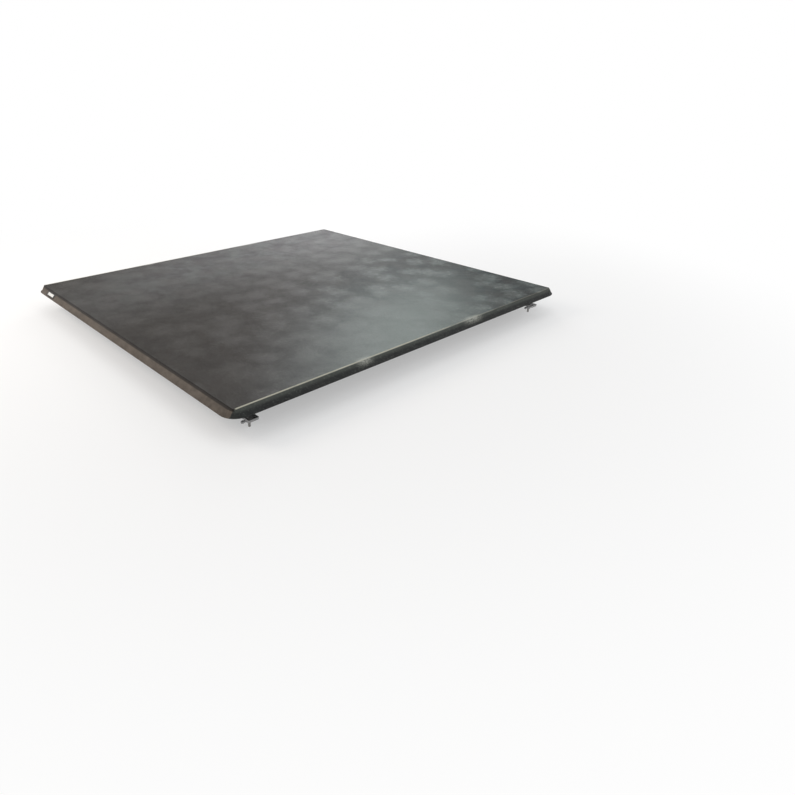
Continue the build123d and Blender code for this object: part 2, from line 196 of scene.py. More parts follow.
def hard_finish(name, finish, bare, rough, dust_share, scratch_share, grain_scale, grain_depth,
                **constants):
    """A hard part's material: its coat or metal, handling marks and a fine surface grain."""
    material, tree, shader = new_material(name, rough, **constants)
    place = tree.nodes.new("ShaderNodeTexCoord").outputs["Object"]
    marks = add(tree, "ShaderNodeGroup", node_tree=marks_tree)
    tree.links.new(place, marks.inputs["Place"])
    for label, value in (("Finish", finish), ("Bare", bare), ("Roughness", rough),
                         ("Dust", dust_share), ("Scratches", scratch_share)):
        marks.inputs[label].default_value = value
    grain = noise(tree, place, grain_scale, 3.0, 0.55)
    height = plus(tree, grain, marks.outputs["Height"])
    normal = relief(tree, height, grain_depth, 0.6)
    wire(tree, shader, Base_Color=marks.outputs["Colour"], Roughness=marks.outputs["Roughness"],
         Normal=normal)
    return material


def dress(material, *names):
    """Gives CAD parts their finish."""
    for name in names:
        data = nodes[name].data
        for index in range(len(data.materials)):
            data.materials[index] = material


powder_coat = hard_finish("powder_coat", (0.018, 0.018, 0.019, 1), (0.05, 0.05, 0.052, 1),
                          0.46, 0.10, 0.35, 1800.0, 0.00012, Specular_IOR_Level=0.5)
dress(powder_coat, "front_side_rails", "front_fold_rails", "front_bow", "front_header_rail",
      "mid_side_rails", "mid_fold_rails", "mid_bow", "rear_side_rails", "rear_fold_rails",
      "rear_bow", "rear_header_rail", "fold_spine")


# ---- Corner castings ----
# Die-cast aluminium corners that close the frame. Their tenons push into the rails, and the
# casting skin is left a little coarse under its thin black paint.
casting_paint = hard_finish("casting_paint", (0.024, 0.024, 0.025, 1), (0.14, 0.14, 0.145, 1),
                            0.58, 0.18, 0.5, 700.0, 0.0004, Specular_IOR_Level=0.45)
dress(casting_paint, "front_corner_castings", "rear_corner_castings")


# ---- Hinges, brackets, rivets and pins ----
# Pressed steel, bright zinc plated with a clear passivate. The pins turn in the eyes of the
# leaves, and blind rivets hold the brackets inside the rails.
zinc_plate = hard_finish("zinc_plate", (0.50, 0.50, 0.49, 1), (0.72, 0.71, 0.68, 1),
                         0.34, 0.12, 0.4, 2600.0, 0.00005, Metallic=1.0)
dress(zinc_plate, "front_corner_brackets", "front_rivets", "front_hinge_leaves",
      "front_hinge_pins", "front_clamp_brackets", "front_clamp_pins", "mid_corner_brackets",
      "mid_rivets", "mid_hinge_leaves", "mid_hinge_pins", "rear_corner_brackets", "rear_rivets",
      "rear_hinge_leaves", "rear_hinge_pins", "rear_clamp_brackets", "rear_clamp_pins",
      "fold_tangs", "fold_link_bars")


# ---- Moulded parts ----
# Glass-filled nylon, black, with the sparked texture of its mould: the ends of the front
# fold's spine and the strips that pinch the skin's edge under the rails.
nylon = hard_finish("nylon", (0.020, 0.020, 0.021, 1), (0.075, 0.075, 0.078, 1),
                    0.55, 0.15, 0.3, 1500.0, 0.00025, Specular_IOR_Level=0.4)
dress(nylon, "fold_end_blocks", "front_vinyl_strips", "mid_vinyl_strips", "rear_vinyl_strips")


# ---- Clamps ----
# Each corner clamp is a zinc-plated screw hung from a pin, a cast jaw that grips under the
# bed rail, and a cast tee handle that winds the jaw up the screw.
cast_grey = hard_finish("cast_grey", (0.30, 0.30, 0.305, 1), (0.62, 0.62, 0.61, 1),
                        0.48, 0.15, 0.5, 900.0, 0.00035, Metallic=0.9)
threaded, tree, shader = new_material("threaded_zinc", 0.36, Metallic=1.0)
place = tree.nodes.new("ShaderNodeTexCoord").outputs["Object"]
split = add(tree, "ShaderNodeSeparateXYZ", {0: place})
pitch, thread_top, thread_full = 0.002, 0.004, 0.001
turns = times(tree, split.outputs["Z"], 2 * math.pi / pitch)
thread = maths(tree, "SINE", turns)
below_eye = ramp(tree, split.outputs["Z"], thread_top, thread_full)
cut = times(tree, thread, below_eye)
normal = relief(tree, cut, 0.0004, 1.0)
valley = ramp(tree, cut, 0.1, -0.9)
stain = ramp(tree, noise(tree, place, 90.0, 4.0), 0.4, 0.7)
metal = blend_colour(tree, stain, (0.56, 0.55, 0.53, 1), (0.42, 0.41, 0.38, 1))
metal = blend_colour(tree, valley, metal, (0.13, 0.12, 0.11, 1))
greased = plus(tree, times(tree, stain, 0.12), 0.30)
wire(tree, shader, Base_Color=metal, Roughness=greased, Normal=normal)
for end in ("front", "rear"):
    for side in ("left", "right"):
        dress(threaded, f"clamp_rod_{end}_{side}")
        dress(cast_grey, f"clamp_jaw_{end}_{side}", f"clamp_handle_{end}_{side}")


# ---- Bulb seals ----
# Extruded EPDM rubber stuck under the frame: a flat base and a hollow D bulb that the bed
# rails squash. One run goes round each end panel, and two straight runs lie under the middle.
rubber, tree, shader = new_material("rubber", 0.7, Specular_IOR_Level=0.3)
place = tree.nodes.new("ShaderNodeTexCoord").outputs["Object"]
marks = add(tree, "ShaderNodeGroup", {"Place": place, "Finish": (0.016, 0.016, 0.017, 1),
                                      "Bare": (0.05, 0.05, 0.05, 1), "Roughness": 0.66,
                                      "Dust": 0.35, "Scratches": 0.05}, node_tree=marks_tree)
skin_of_rubber = noise(tree, place, 1300.0, 4.0, 0.6)
normal = relief(tree, skin_of_rubber, 0.0002, 0.5)
wire(tree, shader, Base_Color=marks.outputs["Colour"], Roughness=marks.outputs["Roughness"],
     Normal=normal)

seal_wall = 0.0011


def d_section(width, height, wall):
    """The bulb's outline and its bore as (across, drop below the frame), the same way round."""
    base, bore_rise, land_rise = 0.0012, 0.0003, 0.0004
    half, lip, bulb = width / 2, width * 0.46, width * 0.45
    land = [(width * 0.30, base), (width * 0.33, base), (width * 0.36, base + land_rise)]
    outer = [(-half, 0.0), (-half, base), (-lip, base)]
    inner = [(-x, drop) for x, drop in land]
    steps = 14
    for i in range(steps + 1):
        turn = math.pi * i / steps
        outer.append((-bulb * math.cos(turn), base + (height - base) * math.sin(turn)))
        inner.append((-(bulb - wall) * math.cos(turn),
                      base + bore_rise + (height - base - wall - bore_rise) * math.sin(turn)))
    outer += [(lip, base), (half, base), (half, 0.0)]
    inner += land[::-1]
    return outer, inner


def placed(name, data):
    """An object for the data, put in the scene."""
    made = bpy.data.objects.new(name, data)
    bpy.context.scene.collection.objects.link(made)
    return made


def mesh_object(name, verts, faces, material):
    data = bpy.data.meshes.new(name)
    data.from_pydata([tuple(v) for v in verts], [], faces)
    data.validate()
    data.materials.append(material)
    data.shade_smooth()
    data.set_sharp_from_angle(angle=math.radians(38))
    return placed(name, data)


def bulb_seal(runs, width, top, bottom):
    """Sweeps the hollow D section along each run of (x, y, across direction) places."""
    outer, inner = d_section(width, top - bottom, seal_wall)
    verts, faces = [], []
    count = len(outer)
    for run in runs:
        first = len(verts)
        for x, y, ax, ay in run:
            for across, drop in outer + inner:
                verts.append((x + ax * across, y + ay * across, top - drop))
        for s in range(len(run) - 1):
            a, b = first + s * 2 * count, first + (s + 1) * 2 * count
            for i in range(count):
                j = (i + 1) % count
                faces.append((a + i, a + j, b + j, b + i))
                faces.append((a + count + j, a + count + i, b + count + i, b + count + j))
        last = first + (len(run) - 1) * 2 * count
        for i in range(count):
            j = (i + 1) % count
            faces.append((first + j, first + i, first + count + i, first + count + j))
            faces.append((last + i, last + j, last + count + j, last + count + i))
    return verts, faces


half_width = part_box("front_vinyl")[1][0]
front_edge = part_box("front_vinyl")[1][1]
rear_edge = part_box("rear_vinyl")[0][1]
outer_corner = 0.060
seal_width = 0.018
corner_steps, side_steps, end_steps, middle_steps = 12, 30, 80, 40
quarter = [math.radians(90 * i / corner_steps) for i in range(1, corner_steps + 1)]
bm = bmesh.new()
for panel in ("front", "mid", "rear"):
    low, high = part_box(f"{panel}_seals")
    inset = half_width - high[0] + seal_width / 2
    lane = half_width - inset
    runs = []
    if panel == "mid":
        for side in SIDES:
            ys = np.linspace(high[1], low[1], middle_steps)
            runs.append([(side * lane, y, side, 0.0) for y in ys])
    else:
        way = 1 if panel == "front" else -1
        edge = front_edge if way > 0 else rear_edge
        start = low[1] if way > 0 else high[1]
        turn_y = edge - way * outer_corner
        turn_x = half_width - outer_corner
        radius = outer_corner - inset
        run = [(-lane, y, -1.0, 0.0) for y in np.linspace(start, turn_y, side_steps)]
        run += [(-turn_x - radius * math.cos(a), turn_y + way * radius * math.sin(a),
                 -math.cos(a), way * math.sin(a)) for a in quarter]
        run += [(x, edge - way * inset, 0.0, float(way))
                for x in np.linspace(-turn_x, turn_x, end_steps)[1:]]
        run += [(turn_x + radius * math.sin(a), turn_y + way * radius * math.cos(a),
                 math.sin(a), way * math.cos(a)) for a in quarter]
        run += [(lane, y, 1.0, 0.0) for y in np.linspace(turn_y, start, side_steps)[1:]]
        runs.append(run)
    seal = mesh_object(f"bulb_seal_{panel}", *bulb_seal(runs, seal_width, high[2], low[2]), rubber)
    bm.from_mesh(seal.data)
    bmesh.ops.recalc_face_normals(bm, faces=bm.faces)
    bm.to_mesh(seal.data)
    bm.clear()
    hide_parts(f"{panel}_seals")
    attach(seal, f"{panel}_panel")
bm.free()


# ---- Vinyl skin ----
# One sheet of coated polyester, black and pebble grained, stretched over the three panels and
# turned under the rails. It is heat formed at the edge into a ridge and a hem bead, and at
# the folds it is only held at each side, so it creases there when a panel is turned over.
skin = 0.0012
band_run = 0.027
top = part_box("front_vinyl")[1][2]
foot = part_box("front_vinyl")[0][2]
plateau_corner = 0.004
bead = 0.002
return_width = 0.032
pin_radius = (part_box("front_hinge_pins")[1][1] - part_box("front_hinge_pins")[0][1]) / 2
line_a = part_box("front_hinge_pins")[0][1] + pin_radius
line_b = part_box("mid_hinge_pins")[1][1] - pin_radius
line_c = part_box("mid_hinge_pins")[0][1] + pin_radius
line_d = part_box("rear_hinge_pins")[0][1] + pin_radius
bend = 0.006
hinge_lines = (line_a, line_b, line_c, line_d)
middle_ab = (line_a + line_b) / 2
middle_cd = (line_c + line_d) / 2

edge_x = half_width - band_run
edge_front = front_edge - band_run
edge_rear = rear_edge + band_run
turn_x = half_width - outer_corner
turn_front = front_edge - outer_corner
turn_rear = rear_edge + outer_corner


def marks_along(knots, steps):
    """Places through the knots, each stretch divided into equal steps no longer than given."""
    places = [knots[0]]
    for start, end, step in zip(knots, knots[1:], steps):
        count = max(1, math.ceil(abs(end - start) / step - 1e-6))
        places += [start + (end - start) * i / count for i in range(1, count + 1)]
    return np.array(places)


fine, coarse, crease_step = 0.0017, 0.012, 0.0012
columns = marks_along([-edge_x, -turn_x, turn_x, edge_x], [fine, coarse, fine])
near = 0.012
rows = marks_along(
    [edge_front, turn_front, line_a + near, line_a + bend, middle_ab, line_b - bend,
     line_b - near, line_c + near, line_c + bend, middle_cd, line_d - bend, line_d - near,
     turn_rear, edge_rear],
    [fine, coarse] + [crease_step] * 4 + [coarse] + [crease_step] * 4 + [coarse, fine])
across, along = len(columns), len(rows)
plan_x, plan_y = np.meshgrid(columns, rows)


def hump(value, centre, spread):
    return np.exp(-((value - centre) / spread) ** 2)


# between the rails and bows the sheet hangs a little, and over the folds it is loose
bays = []
fold_rail_width = 0.025
for panel in ("front", "mid", "rear"):
    bow_low, bow_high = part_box(f"{panel}_bow")
    rail_low, rail_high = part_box(f"{panel}_fold_rails")
    front_of = rail_high[1] - fold_rail_width
    rear_of = rail_low[1] + fold_rail_width
    if panel == "front":
        front_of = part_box("front_header_rail")[0][1]
    if panel == "rear":
        rear_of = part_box("rear_header_rail")[1][1]
    bays += [(front_of, bow_high[1]), (bow_low[1], rear_of)]
clamp_room = 0.052  # no sag over the stowed clamps
bay_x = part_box("front_bow")[1][0] - clamp_room
hang, fullness, side_rise = 0.0013, 0.75, 14
level = np.full(plan_x.shape, top)
for bay_front, bay_rear in bays:
    v = np.clip((bay_front - plan_y) / (bay_front - bay_rear), 0, 1)
    u = np.clip((plan_x + bay_x) / (2 * bay_x), 0, 1)
    bowl = (4 * v * (1 - v)) ** fullness
    level -= hang * bowl * np.clip(side_rise * u * (1 - u), 0, 1) ** fullness
to_edge = np.minimum(np.minimum(edge_x - plan_x, plan_x + edge_x),
                     np.minimum(edge_front - plan_y, plan_y - edge_rear))
rim_zone, ripple = 0.06, 0.00011
inner_share = np.clip(to_edge / rim_zone, 0, 1)
rng = random.Random(7)
for i in range(9):
    angle, length, phase = rng.uniform(0, math.pi), rng.uniform(0.12, 0.5), rng.uniform(0, 6.3)
    wave = (plan_x * math.cos(angle) + plan_y * math.sin(angle)) * 2 * math.pi / length + phase
    level += ripple * inner_share * np.sin(wave)
wide_crease, narrow_crease = 0.00024, 0.00014
roll_off, roll_spread, line_spread, crease_fade = 0.0042, 0.0022, 0.0012, 0.01
for line in hinge_lines:
    loose = wide_crease if line in (line_a, line_b) else narrow_crease
    crease = loose * (hump(plan_y, line + roll_off, roll_spread)
                      + hump(plan_y, line - roll_off, roll_spread))
    pucker = 1 + 0.45 * np.sin(plan_x * 61 + line * 40) + 0.3 * np.sin(plan_x * 143 + line * 90)
    crease = crease * pucker - loose * hump(plan_y, line, line_spread)
    level += crease * np.clip(to_edge / crease_fade, 0, 1)
ridge_height, ridge_inside, ridge_outside = 0.0007, 0.0017, 0.0015
level += ridge_height * hump(to_edge, 0.0, ridge_inside)

# the plateau's grid, with its corners rounded
grid = np.stack([plan_x, plan_y, level], axis=-1)
for j, sx in ((0, -1), (across - 1, 1)):
    for k, sy, edge in ((0, 1, edge_front), (along - 1, -1, edge_rear)):
        centre = np.array([sx * (edge_x - plateau_corner), edge - sy * plateau_corner])
        for jj in range(across):
            for kk in range(along):
                if (jj == j or kk == k) and abs(columns[jj] - columns[j]) < plateau_corner \
                        and abs(rows[kk] - rows[k]) < plateau_corner:
                    gap = grid[kk, jj, :2] - centre
                    grid[kk, jj, :2] = centre + gap * plateau_corner / np.linalg.norm(gap)

loop = [(0, j) for j in range(across - 1)]
loop += [(k, across - 1) for k in range(along - 1)]
loop += [(along - 1, j) for j in range(across - 1, 0, -1)]
loop += [(k, 0) for k in range(along - 1, 0, -1)]
around = len(loop)
inner_ring = np.array([grid[k, j] for k, j in loop])
lower_edge = np.zeros((around, 2))
outward = np.zeros((around, 2))
corner_turn = np.full(around, -1.0)
for i, (k, j) in enumerate(loop):
    x, y = columns[j], rows[k]
    sx = 1 if x > 0 else -1
    sy = 1 if y > (edge_front + edge_rear) / 2 else -1
    turn_y = turn_front if sy > 0 else turn_rear
    over_x, over_y = abs(x) - turn_x, sy * (y - turn_y)
    if over_x > -1e-9 and over_y > -1e-9:
        reach = outer_corner - band_run
        on_end = k in (0, along - 1)
        share = over_x / (2 * reach) if on_end else 1 - over_y / (2 * reach)
        angle = share * math.pi / 2
        outward[i] = (sx * math.sin(angle), sy * math.cos(angle))
        lower_edge[i] = np.array([sx * turn_x, turn_y]) + outer_corner * outward[i]
        corner_turn[i] = share
    else:
        outward[i] = (0, sy) if k in (0, along - 1) else (sx, 0)
        lower_edge[i] = np.array([x, y]) + band_run * outward[i]

bead_start = 0.0036
bead_level = foot + (top - foot) * bead_start / band_run
band_length = math.hypot(band_run, top - foot)
band_out = np.array([(top - foot) / band_length, band_run / band_length])
belly_depth, slope_run = 0.0006, 0.034


def band_height(share):
    """Height of the band and how far it bellies out, from the ridge at 0 to the bead at 1."""
    height = top + (bead_level - top) * share
    ridge = ridge_height * hump(share * slope_run, 0.0, ridge_outside)
    return height, belly_depth * np.sin(np.pi * share) + ridge


stations = [0.03, 0.06, 0.10, 0.15, 0.21, 0.28, 0.36, 0.44, 0.52, 0.60, 0.68, 0.76, 0.83, 0.89,
            0.94, 0.975, 1.0]
rings = []
side_y = inner_ring[:, 1]
on_side = np.abs(outward[:, 0]) > 0.999
in_corner = corner_turn >= 0
pleat_depth, pleat_pitch, cross_pitch = 0.00055, 0.0068, 0.0113
gather_depth, mitre_groove, mitre_lip = 0.0004, 0.0009, 0.0005
fold_window = sum(hump(side_y, line, 0.010) for line in hinge_lines)
fold_window = np.clip(fold_window + 0.75 * hump(side_y, middle_ab, 0.020), 0, 1) * on_side
for share in stations:
    height, belly = band_height(share)
    start, end = inner_ring[:, :2], lower_edge - bead_start * outward
    plan = start + (end - start) * share
    body = math.sin(math.pi * share) ** 0.6 if share < 1 else 0.0
    pleats = pleat_depth * fold_window * body * (
        np.sin(side_y * 2 * math.pi / pleat_pitch + 2.2 * share + 9 * outward[:, 0])
        + 0.6 * np.sin(side_y * 2 * math.pi / cross_pitch - 3.1 * share))
    gather = np.where(in_corner, np.sin(np.pi * np.clip(corner_turn, 0, 1)) ** 0.8, 0)
    gather = gather_depth * gather * body * (np.sin(corner_turn * 47 + 1.5 * share)
                                             + 0.5 * np.sin(corner_turn * 83 - 2 * share))
    mitre = -mitre_groove * body * np.where(in_corner, hump(corner_turn, 0.5, 0.022), 0)
    mitre += mitre_lip * body * np.where(in_corner, hump(corner_turn, 0.56, 0.03), 0)
    push = belly + pleats + gather + mitre
    plan = plan + (push * band_out[0])[:, None] * outward
    rings.append(np.column_stack([plan, height + push * band_out[1]]))
for degrees in (128, 100, 72, 44, 16, -12, -40, -68, -90):
    a = math.radians(degrees)
    reach = -bead + bead * math.cos(a)
    height = foot + bead + bead * math.sin(a)
    rings.append(np.column_stack([lower_edge + reach * outward, np.full(around, height)]))
for reach in (0.006, 0.014, 0.023, return_width):
    rings.append(np.column_stack([lower_edge - reach * outward, np.full(around, foot)]))

whole = np.concatenate([grid.reshape(-1, 3)] + rings)
quads = []
for k in range(along - 1):
    for j in range(across - 1):
        a = k * across + j
        quads.append((a, a + across, a + across + 1, a + 1))
ring_at = [[k * across + j for k, j in loop]]
for r in range(len(rings)):
    first = along * across + r * around
    ring_at.append(list(range(first, first + around)))
for upper, lower in zip(ring_at, ring_at[1:]):
    for i in range(around):
        j = (i + 1) % around
        quads.append((upper[i], upper[j], lower[j], lower[i]))
quads = np.array(quads)
corners = whole[quads]
facing = np.cross(corners[:, 2] - corners[:, 0], corners[:, 3] - corners[:, 1])
normals = np.zeros_like(whole)
for c in range(4):
    np.add.at(normals, quads[:, c], facing)
normals /= np.linalg.norm(normals, axis=1)[:, None]
lining = whole - skin * normals
face_y = corners[:, :, 1].mean(axis=1)

# pebble grain pressed into the vinyl: small rounded cells with a network of valleys
pebble_tree, given, out = new_group(
    "Pebble Grain", [("Place", VECTOR, None), ("Cell Size", FLOAT, 0.002)],
    [("Height", FLOAT), ("Valley", FLOAT)])
per_metre = maths(pebble_tree, "DIVIDE", 1.0, given["Cell Size"])
wobble = add(pebble_tree, "ShaderNodeTexNoise", {"Vector": given["Place"], "Scale": 700.0,
                                                 "Detail": 2.0})
shift = add(pebble_tree, "ShaderNodeVectorMath", {0: wobble.outputs["Color"],
                                                  1: (0.5, 0.5, 0.5)}, operation="SUBTRACT")
shift = add(pebble_tree, "ShaderNodeVectorMath", {0: shift.outputs[0], "Scale": 0.0014},
            operation="SCALE")
moved = add(pebble_tree, "ShaderNodeVectorMath", {0: given["Place"], 1: shift.outputs[0]})
cells = add(pebble_tree, "ShaderNodeTexVoronoi", {"Vector": moved.outputs[0], "Scale": per_metre},
            feature="DISTANCE_TO_EDGE")
dome = ramp(pebble_tree, cells.outputs["Distance"], 0.0, 0.28)
pebble_tree.links.new(dome, out["Height"])
pebble_tree.links.new(maths(pebble_tree, "SUBTRACT", 1.0, dome), out["Valley"])

vinyl, tree, shader = new_material("vinyl", 0.5, Specular_IOR_Level=0.12)
place = add(tree, "ShaderNodeAttribute", attribute_name="place").outputs["Vector"]
split = add(tree, "ShaderNodeSeparateXYZ", {0: place})
at_x, at_y, at_z = (split.outputs[axis] for axis in "XYZ")
off_centre = maths(tree, "ABSOLUTE", at_x)
cell_size, emboss_depth = 0.0022, 0.00022
pebble = add(tree, "ShaderNodeGroup", {"Place": place, "Cell Size": cell_size},
             node_tree=pebble_tree)
# chalky blotches a hand apart with feathered edges, as dried rain leaves them
warp = add(tree, "ShaderNodeTexNoise", {"Vector": place, "Scale": 7.0, "Detail": 2.0})
feather = add(tree, "ShaderNodeTexNoise", {"Vector": place, "Scale": 42.0, "Detail": 4.0,
                                           "Roughness": 0.65})
warp_shift = add(tree, "ShaderNodeVectorMath", {0: warp.outputs["Color"], "Scale": 0.10},
                 operation="SCALE")
feather_shift = add(tree, "ShaderNodeVectorMath", {0: feather.outputs["Color"], "Scale": 0.11},
                    operation="SCALE")
warped = add(tree, "ShaderNodeVectorMath", {0: place, 1: warp_shift.outputs[0]})
warped = add(tree, "ShaderNodeVectorMath", {0: warped.outputs[0], 1: feather_shift.outputs[0]})
blotch = add(tree, "ShaderNodeTexVoronoi", {"Vector": warped.outputs[0], "Scale": 7.2,
                                            "Smoothness": 0.25, "Randomness": 0.75},
             feature="SMOOTH_F1", voronoi_dimensions="2D")
patch = ramp(tree, blotch.outputs["Distance"], 0.56, 0.12)
cloud = ramp(tree, noise(tree, place, 26.0, 6.0, 0.66), 0.34, 0.68)
mottle = ramp(tree, noise(tree, place, 11.0, 5.0, 0.6), 0.32, 0.68)
patch = times(tree, patch, plus(tree, times(tree, cloud, 0.75), 0.30))
# painted highlight and bloom, heaviest on a slant from the front left to the right side's middle
# the top is painted paler along the slant, where it reflects a bright light ahead of the cover
slant = plus(tree, times(tree, at_x, 0.67), times(tree, at_y, 0.74))
highlight_bloom = times(tree, ramp(tree, slant, -0.80, -0.28), ramp(tree, slant, 0.36, -0.15))
highlight_to_right = ramp(tree, at_x, 0.05, 0.66)
highlight_bloom = times(tree, highlight_bloom, plus(tree, times(tree, highlight_to_right, 0.89), 0.11))
# painted highlight on the left half too, fading towards the rear left corner
left_highlight_bloom = times(tree, ramp(tree, at_x, 0.05, -0.70), ramp(tree, slant, -1.85, -1.10))
highlight_bloom = plus(tree, highlight_bloom, times(tree, left_highlight_bloom, 0.80), clamp=True)
# painted reflection of the dark cab: the right half ahead of the slant is tinted teal
teal_reflection = times(tree, ramp(tree, slant, -0.80, -0.12), ramp(tree, at_x, -0.55, 0.25))
base = blend_colour(tree, highlight_bloom, (0.026, 0.0218, 0.0182, 1), (0.104, 0.099, 0.105, 1))
teal_reflection_ground = blend_colour(tree, highlight_bloom, (0.016, 0.025, 0.027, 1), (0.212, 0.250, 0.238, 1))
base = blend_colour(tree, teal_reflection, base, teal_reflection_ground)
base = lay_over(tree, base, mottle, 0.45,
                blend_colour(tree, highlight_bloom, (0.047, 0.041, 0.035, 1), (0.265, 0.296, 0.288, 1)))
# the blotches take the teal of the painted reflection, and show more in the painted highlight
light_patch = blend_colour(tree, teal_reflection, (0.100, 0.094, 0.088, 1), (0.205, 0.245, 0.233, 1))
patch_share = plus(tree, times(tree, teal_reflection, 0.14), 0.34)
patch_share = plus(tree, patch_share, times(tree, highlight_bloom, 0.26))
base = lay_over(tree, base, patch, patch_share, light_patch)
# dust caught in the grain, most of it in the blotches at the front right
speck = ramp(tree, noise(tree, place, 150.0, 5.0, 0.8), 0.54, 0.66)
speck_share = plus(tree, times(tree, times(tree, teal_reflection, patch), 0.70), 0.10)
base = lay_over(tree, base, speck, speck_share, (0.33, 0.35, 0.33, 1))
pit = ramp(tree, noise(tree, place, 240.0, 3.0, 0.7), 0.60, 0.72)
base = lay_over(tree, base, pit, 0.35, (0.014, 0.014, 0.015, 1))
base = lay_over(tree, base, pebble.outputs["Valley"], 0.35, (0.010, 0.010, 0.010, 1))
# painted shade and light on the sloping bands, which differ from the top
past_ridge = ramp(tree, at_z, top - 0.0012, top - 0.0035)
on_long_side = ramp(tree, off_centre, edge_x - 0.001, edge_x + 0.001)
on_tail = times(tree, ramp(tree, at_y, edge_rear, edge_rear - 0.002),
                maths(tree, "SUBTRACT", 1.0, on_long_side))
# painted shade: the long sides' bands are darker than the top, and lighter just under the ridge
shaded_side_band = blend_colour(tree, ramp(tree, at_z, top - 0.014, top - 0.005),
                         (0.020, 0.021, 0.021, 1), (0.070, 0.076, 0.068, 1))
shaded_side_band = lay_over(tree, shaded_side_band, cloud, 0.5, (0.048, 0.052, 0.049, 1))
shaded_side_band = lay_over(tree, shaded_side_band, speck, 0.4, (0.20, 0.21, 0.19, 1))
base = lay_over(tree, base, past_ridge, on_long_side, shaded_side_band)
# painted reflection: the tailgate band is painted pale tan, the ground mirrored in it
reflected_tail_band = blend_colour(tree, cloud, (0.078, 0.064, 0.052, 1), (0.125, 0.104, 0.085, 1))
base = lay_over(tree, base, past_ridge, on_tail, reflected_tail_band)
# painted shade: a dark line along the top of the tailgate band
groove_shade = times(tree, ramp(tree, at_y, edge_rear + 0.0035, edge_rear),
               ramp(tree, at_z, top - 0.0075, top - 0.0045))
base = lay_over(tree, base, groove_shade, 0.85, (0.010, 0.008, 0.007, 1))
# painted highlight: the ridge is painted pale along the two long sides, least at the cab end
from_edge = maths(tree, "ABSOLUTE", maths(tree, "SUBTRACT", off_centre, edge_x))
on_ridge = ramp(tree, from_edge, 0.0030, 0.0013)
above = ramp(tree, at_z, top - 0.0034, top - 0.0016)
ridge_highlight = ramp(tree, noise(tree, place, 16.0, 5.0, 0.6), 0.15, 0.5)
brighter_to_rear = plus(tree, times(tree, ramp(tree, at_y, -0.35, -1.05), 0.75), 0.22)
ridge_highlight = times(tree, times(tree, on_ridge, above), times(tree, ridge_highlight, brighter_to_rear))
off_corner = ramp(tree, at_y, edge_rear + 0.002, edge_rear + 0.012)
ridge_highlight = times(tree, ridge_highlight, off_corner)
base = blend_colour(tree, ridge_highlight, base, (0.50, 0.49, 0.40, 1))
# stress whitening on the pleats beside each fold, from the ridge down
on_band = times(tree, ramp(tree, off_centre, edge_x - 0.022, edge_x + 0.001),
                ramp(tree, at_z, foot + 0.003, top - 0.002))
from_wide = maths(tree, "ABSOLUTE", maths(tree, "SUBTRACT", at_y, middle_ab))
from_narrow = maths(tree, "ABSOLUTE", maths(tree, "SUBTRACT", at_y, middle_cd))
near_fold = plus(tree, ramp(tree, from_wide, 0.075, 0.010),
                 ramp(tree, from_narrow, 0.050, 0.0), clamp=True)
crackle = ramp(tree, noise(tree, place, 170.0, 5.0, 0.8, 0.8), 0.38, 0.56)
white = times(tree, times(tree, on_band, near_fold), crackle)
base = lay_over(tree, base, white, 0.85, (0.46, 0.47, 0.42, 1))
shine = maths(tree, "SUBTRACT", 0.58, times(tree, patch, 0.08))
shine = maths(tree, "SUBTRACT", shine, times(tree, pebble.outputs["Height"], 0.08))
shine = plus(tree, shine, times(tree, cloud, 0.08))
fine_grain = plus(tree, pebble.outputs["Height"], times(tree, noise(tree, place, 2600.0, 2.0), 0.3))
normal = relief(tree, fine_grain, emboss_depth, 0.75)
wire(tree, shader, Base_Color=base, Roughness=shine, Normal=normal)

# plain weave, used for the skin's backing, the straps and the tag
weave_tree, given, out = new_group(
    "Plain Weave", [("Place", VECTOR, None), ("Thread", FLOAT, 0.001)],
    [("Height", FLOAT), ("Gap", FLOAT), ("Thread Tone", FLOAT)])
parts = add(weave_tree, "ShaderNodeSeparateXYZ", {0: given["Place"]})
turn = maths(weave_tree, "DIVIDE", math.pi, given["Thread"])
wave_x = maths(weave_tree, "SINE", times(weave_tree, parts.outputs["X"], turn))
wave_y = maths(weave_tree, "SINE", times(weave_tree, parts.outputs["Y"], turn))
checker = times(weave_tree, wave_x, wave_y)
threads = maths(weave_tree, "MAXIMUM", maths(weave_tree, "ABSOLUTE", wave_x),
                maths(weave_tree, "ABSOLUTE", wave_y))
weave_tree.links.new(plus(weave_tree, times(weave_tree, checker, 0.5), threads), out["Height"])
weave_tree.links.new(ramp(weave_tree, threads, 0.55, 0.15), out["Gap"])
tone = noise(weave_tree, given["Place"], 900.0, 2.0)
weave_tree.links.new(tone, out["Thread Tone"])

backing, tree, shader = new_material("backing", 0.9, Specular_IOR_Level=0.2, Sheen_Weight=0.2)
place = add(tree, "ShaderNodeAttribute", attribute_name="place").outputs["Vector"]
weave = add(tree, "ShaderNodeGroup", {"Place": place, "Thread": 0.0011}, node_tree=weave_tree)
cloth = blend_colour(tree, weave.outputs["Thread Tone"], (0.060, 0.060, 0.062, 1),
                     (0.115, 0.115, 0.118, 1))
cloth = blend_colour(tree, weave.outputs["Gap"], cloth, (0.022, 0.022, 0.022, 1))
fade = ramp(tree, noise(tree, place, 7.0, 5.0), 0.35, 0.7)
cloth = lay_over(tree, cloth, fade, 0.3, (0.13, 0.12, 0.11, 1))
normal = relief(tree, weave.outputs["Height"], 0.0003, 0.8)
wire(tree, shader, Base_Color=cloth, Normal=normal)


